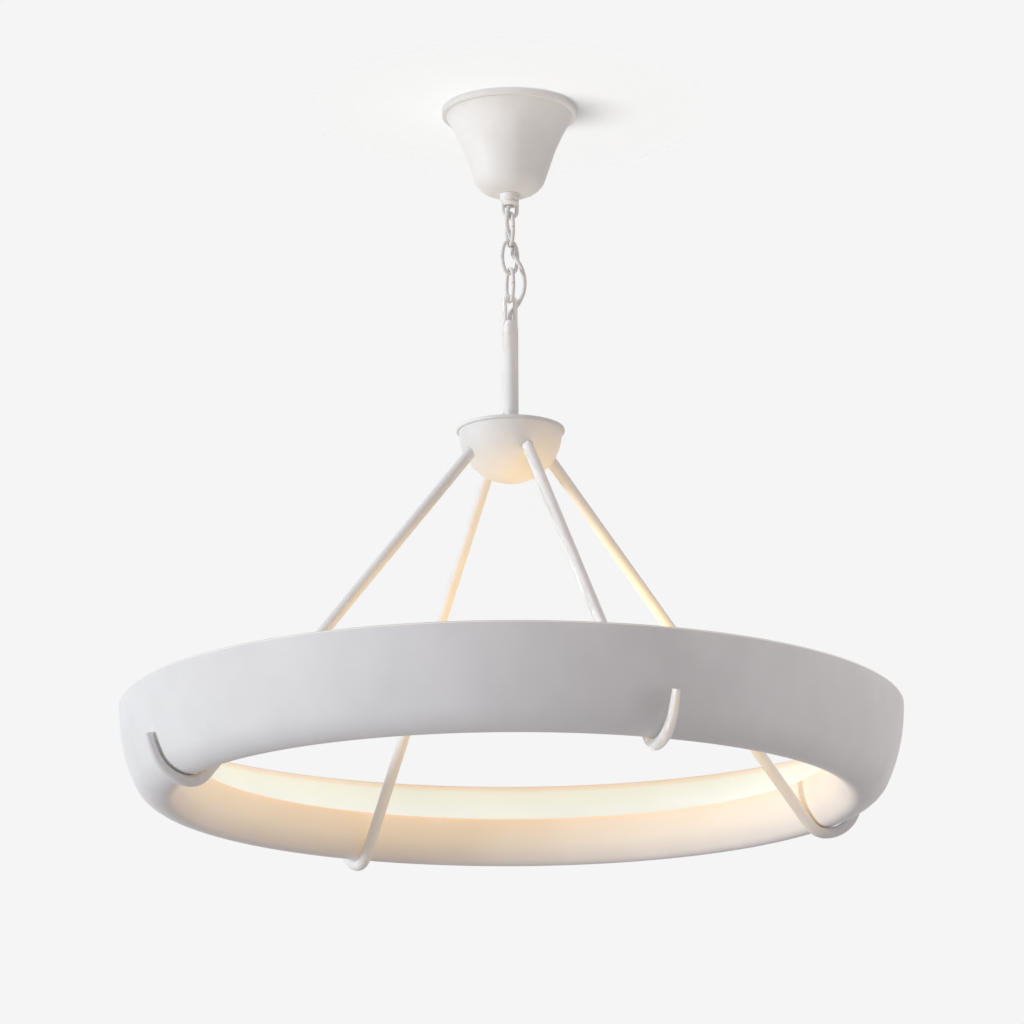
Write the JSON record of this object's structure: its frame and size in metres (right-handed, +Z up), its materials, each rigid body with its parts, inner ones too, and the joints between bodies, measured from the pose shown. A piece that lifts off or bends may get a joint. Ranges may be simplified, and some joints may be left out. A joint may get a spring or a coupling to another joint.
{
  "type": "ring chandelier",
  "caption": "White ring chandelier: bell canopy, short chain with woven cord, stem and hub cup with hooked arms that carry an open trough ring lit from inside.",
  "frame": {"origin": "on the ceiling plane at the hanging axis: the centre of the crossbar's two slots, on its top face", "axes": "+Z up out of the ceiling, +X along the line of the crossbar's slots, +Y towards the driver's side; the arms point within 4 degrees of +X, +Y, -X and -Y"},
  "size_m": [0.8136, 0.8131, 0.7708],
  "materials": {
    "white_paint": "matte",
    "ring_resin": "matte plaster white",
    "opal_diffuser": "opal, lit from below",
    "led_phosphor": "lit warm white",
    "white_plastic": "matte",
    "cord_sheath": "satin",
    "driver_case": "matte",
    "cast_aluminium": "plain",
    "zinc_steel": "zinc plated",
    "green_paint": "satin"
  },
  "bodies": {
    "ceiling_mount": {"mounting_crossbar": "zinc_steel", "centre_nipple": "zinc_steel", "nipple_nut": "zinc_steel", "ground_screw": "green_paint", "led_driver": "driver_case", "driver_screws": "zinc_steel", "driver_lead": "cord_sheath", "canopy": "white_paint", "screw_collar": "white_paint", "hang_loop": "white_paint"},
    "chain_link_1": {"chain_link_1": "white_paint"},
    "chain_link_2": {"chain_link_2": "white_paint", "power_cord": "cord_sheath"},
    "chain_link_3": {"chain_link_3": "white_paint"},
    "fixture": {"stem_loop": "white_paint", "stem_tube": "white_paint", "hub_nipple": "zinc_steel", "hub_nut": "zinc_steel", "hub_cover": "white_paint", "hub_cover_screws": "white_paint", "hub_cup": "white_paint", "hub_block": "cast_aluminium", "terminal_block": "white_plastic", "stem_lead": "cord_sheath", "feed_lead": "cord_sheath", "arm_back_right": "white_paint", "arm_back_left": "white_paint", "arm_front_left": "white_paint", "arm_front_right": "white_paint", "ring_shade": "ring_resin", "led_carrier": "cast_aluminium", "led_strip": "white_plastic", "led_chips": "led_phosphor", "strip_connector": "white_plastic", "diffuser": "opal_diffuser"}
  },
  "joints": [
    {"name": "loop_swing", "type": "hinge", "parent": "ceiling_mount", "child": "chain_link_1", "pos_m": [0, 0, -0.121], "axis": [1, 0, 0], "range_deg": [-20, 20], "deforming": ["power_cord"]},
    {"name": "upper_link_swing", "type": "hinge", "parent": "chain_link_1", "child": "chain_link_2", "pos_m": [0, 0, -0.1522], "axis": [0, 1, 0], "range_deg": [-20, 20], "deforming": ["power_cord"]},
    {"name": "lower_link_swing", "type": "hinge", "parent": "chain_link_2", "child": "chain_link_3", "pos_m": [0, 0, -0.1835], "axis": [1, 0, 0], "range_deg": [-20, 20], "deforming": ["power_cord"]},
    {"name": "fixture_swing", "type": "hinge", "parent": "chain_link_3", "child": "fixture", "pos_m": [0, 0, -0.2148], "axis": [0, 1, 0], "range_deg": [-20, 20], "deforming": ["power_cord"]}
  ]
}
